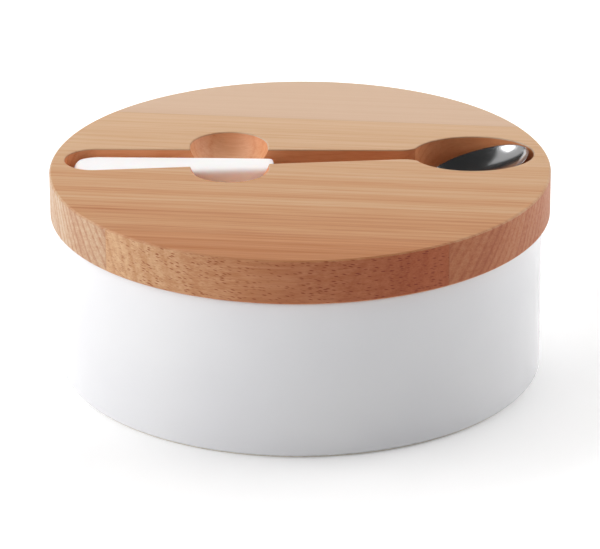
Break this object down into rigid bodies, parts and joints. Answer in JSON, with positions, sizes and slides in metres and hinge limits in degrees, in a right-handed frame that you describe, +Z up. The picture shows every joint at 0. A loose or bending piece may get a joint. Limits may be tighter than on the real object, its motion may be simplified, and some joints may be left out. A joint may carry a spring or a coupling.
{
  "type": "sugar bowl",
  "caption": "Round straight-sided porcelain bowl with a flat wooden lift-off lid; a spoon lies in a channel, finger scoop and oval well cut in the lid.",
  "frame": {"origin": "centre of the bowl's foot, on the surface it stands on", "axes": "+Z up; +X along the spoon, from the handle's end to the blade's tip; +Y towards the edge of the lid that the spoon lies nearer to"},
  "size_m": [0.14, 0.14, 0.059],
  "materials": {
    "porcelain": "gloss",
    "silicone": "matte",
    "beech": "satin",
    "white_plastic": "satin",
    "spoon_steel": "polished"
  },
  "bodies": {
    "bowl": {"bowl": "porcelain"},
    "lid": {"lid_back_stave": "beech", "lid_middle_stave": "beech", "lid_front_stave": "beech", "seal_ring": "silicone"},
    "spoon": {"spoon_handle": "white_plastic", "spoon_blade": "spoon_steel"}
  },
  "joints": [
    {"name": "lid_lift", "type": "slide", "parent": "bowl", "child": "lid", "axis": [0, 0, 1], "range_m": [0, 0.06]},
    {"name": "spoon_lift", "type": "slide", "parent": "lid", "child": "spoon", "axis": [0, 0, 1], "range_m": [0, 0.04]}
  ]
}
